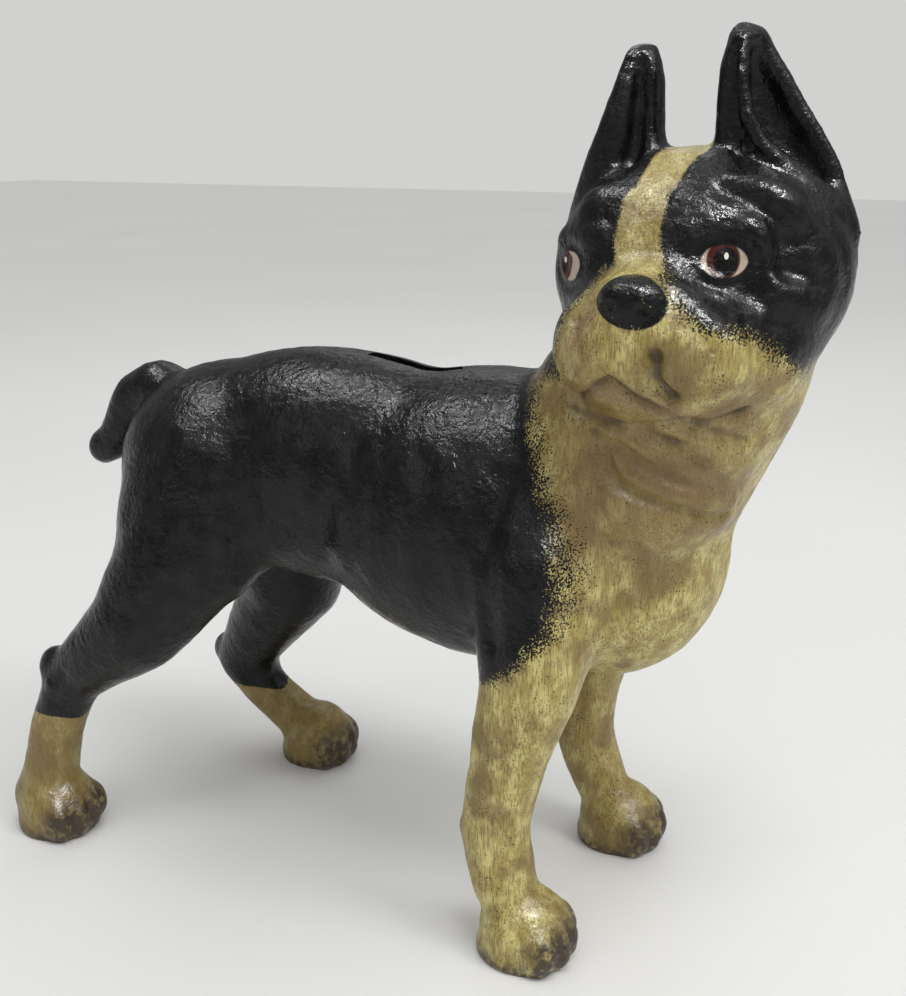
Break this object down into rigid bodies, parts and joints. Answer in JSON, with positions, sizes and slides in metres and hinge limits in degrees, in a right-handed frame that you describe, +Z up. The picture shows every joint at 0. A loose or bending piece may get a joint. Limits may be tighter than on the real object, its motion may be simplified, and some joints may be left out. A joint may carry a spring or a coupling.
{
  "type": "cast iron still bank",
  "caption": "Hollow two-part cast iron money bank in the shape of a standing terrier with its head turned, coin slot in the back, held together by screws.",
  "frame": {"origin": "on the ground, under the middle of the bank's bounding box", "axes": "+Z up; the dog's body faces -Y, its left side is +X and its head looks along -X"},
  "size_m": [0.11, 0.2486, 0.246],
  "materials": {
    "painted_iron": "glossy black enamel with worn cream enamel on face, chest and legs",
    "screw_steel": "dull aged steel"
  },
  "bodies": {
    "right_half": {"right_half": "painted_iron"},
    "left_half": {"left_half": "painted_iron"},
    "front_screw": {"front_screw": "screw_steel"},
    "rear_screw": {"rear_screw": "screw_steel"}
  },
  "joints": [
    {"name": "left_half_lift", "type": "slide", "parent": "right_half", "child": "left_half", "axis": [1, 0, 0], "range_m": [0, 0.11]},
    {"name": "front_screw_out", "type": "slide", "parent": "left_half", "child": "front_screw", "axis": [1, 0, 0], "range_m": [0, 0.06]},
    {"name": "rear_screw_out", "type": "slide", "parent": "left_half", "child": "rear_screw", "axis": [1, 0, 0], "range_m": [0, 0.06]}
  ]
}
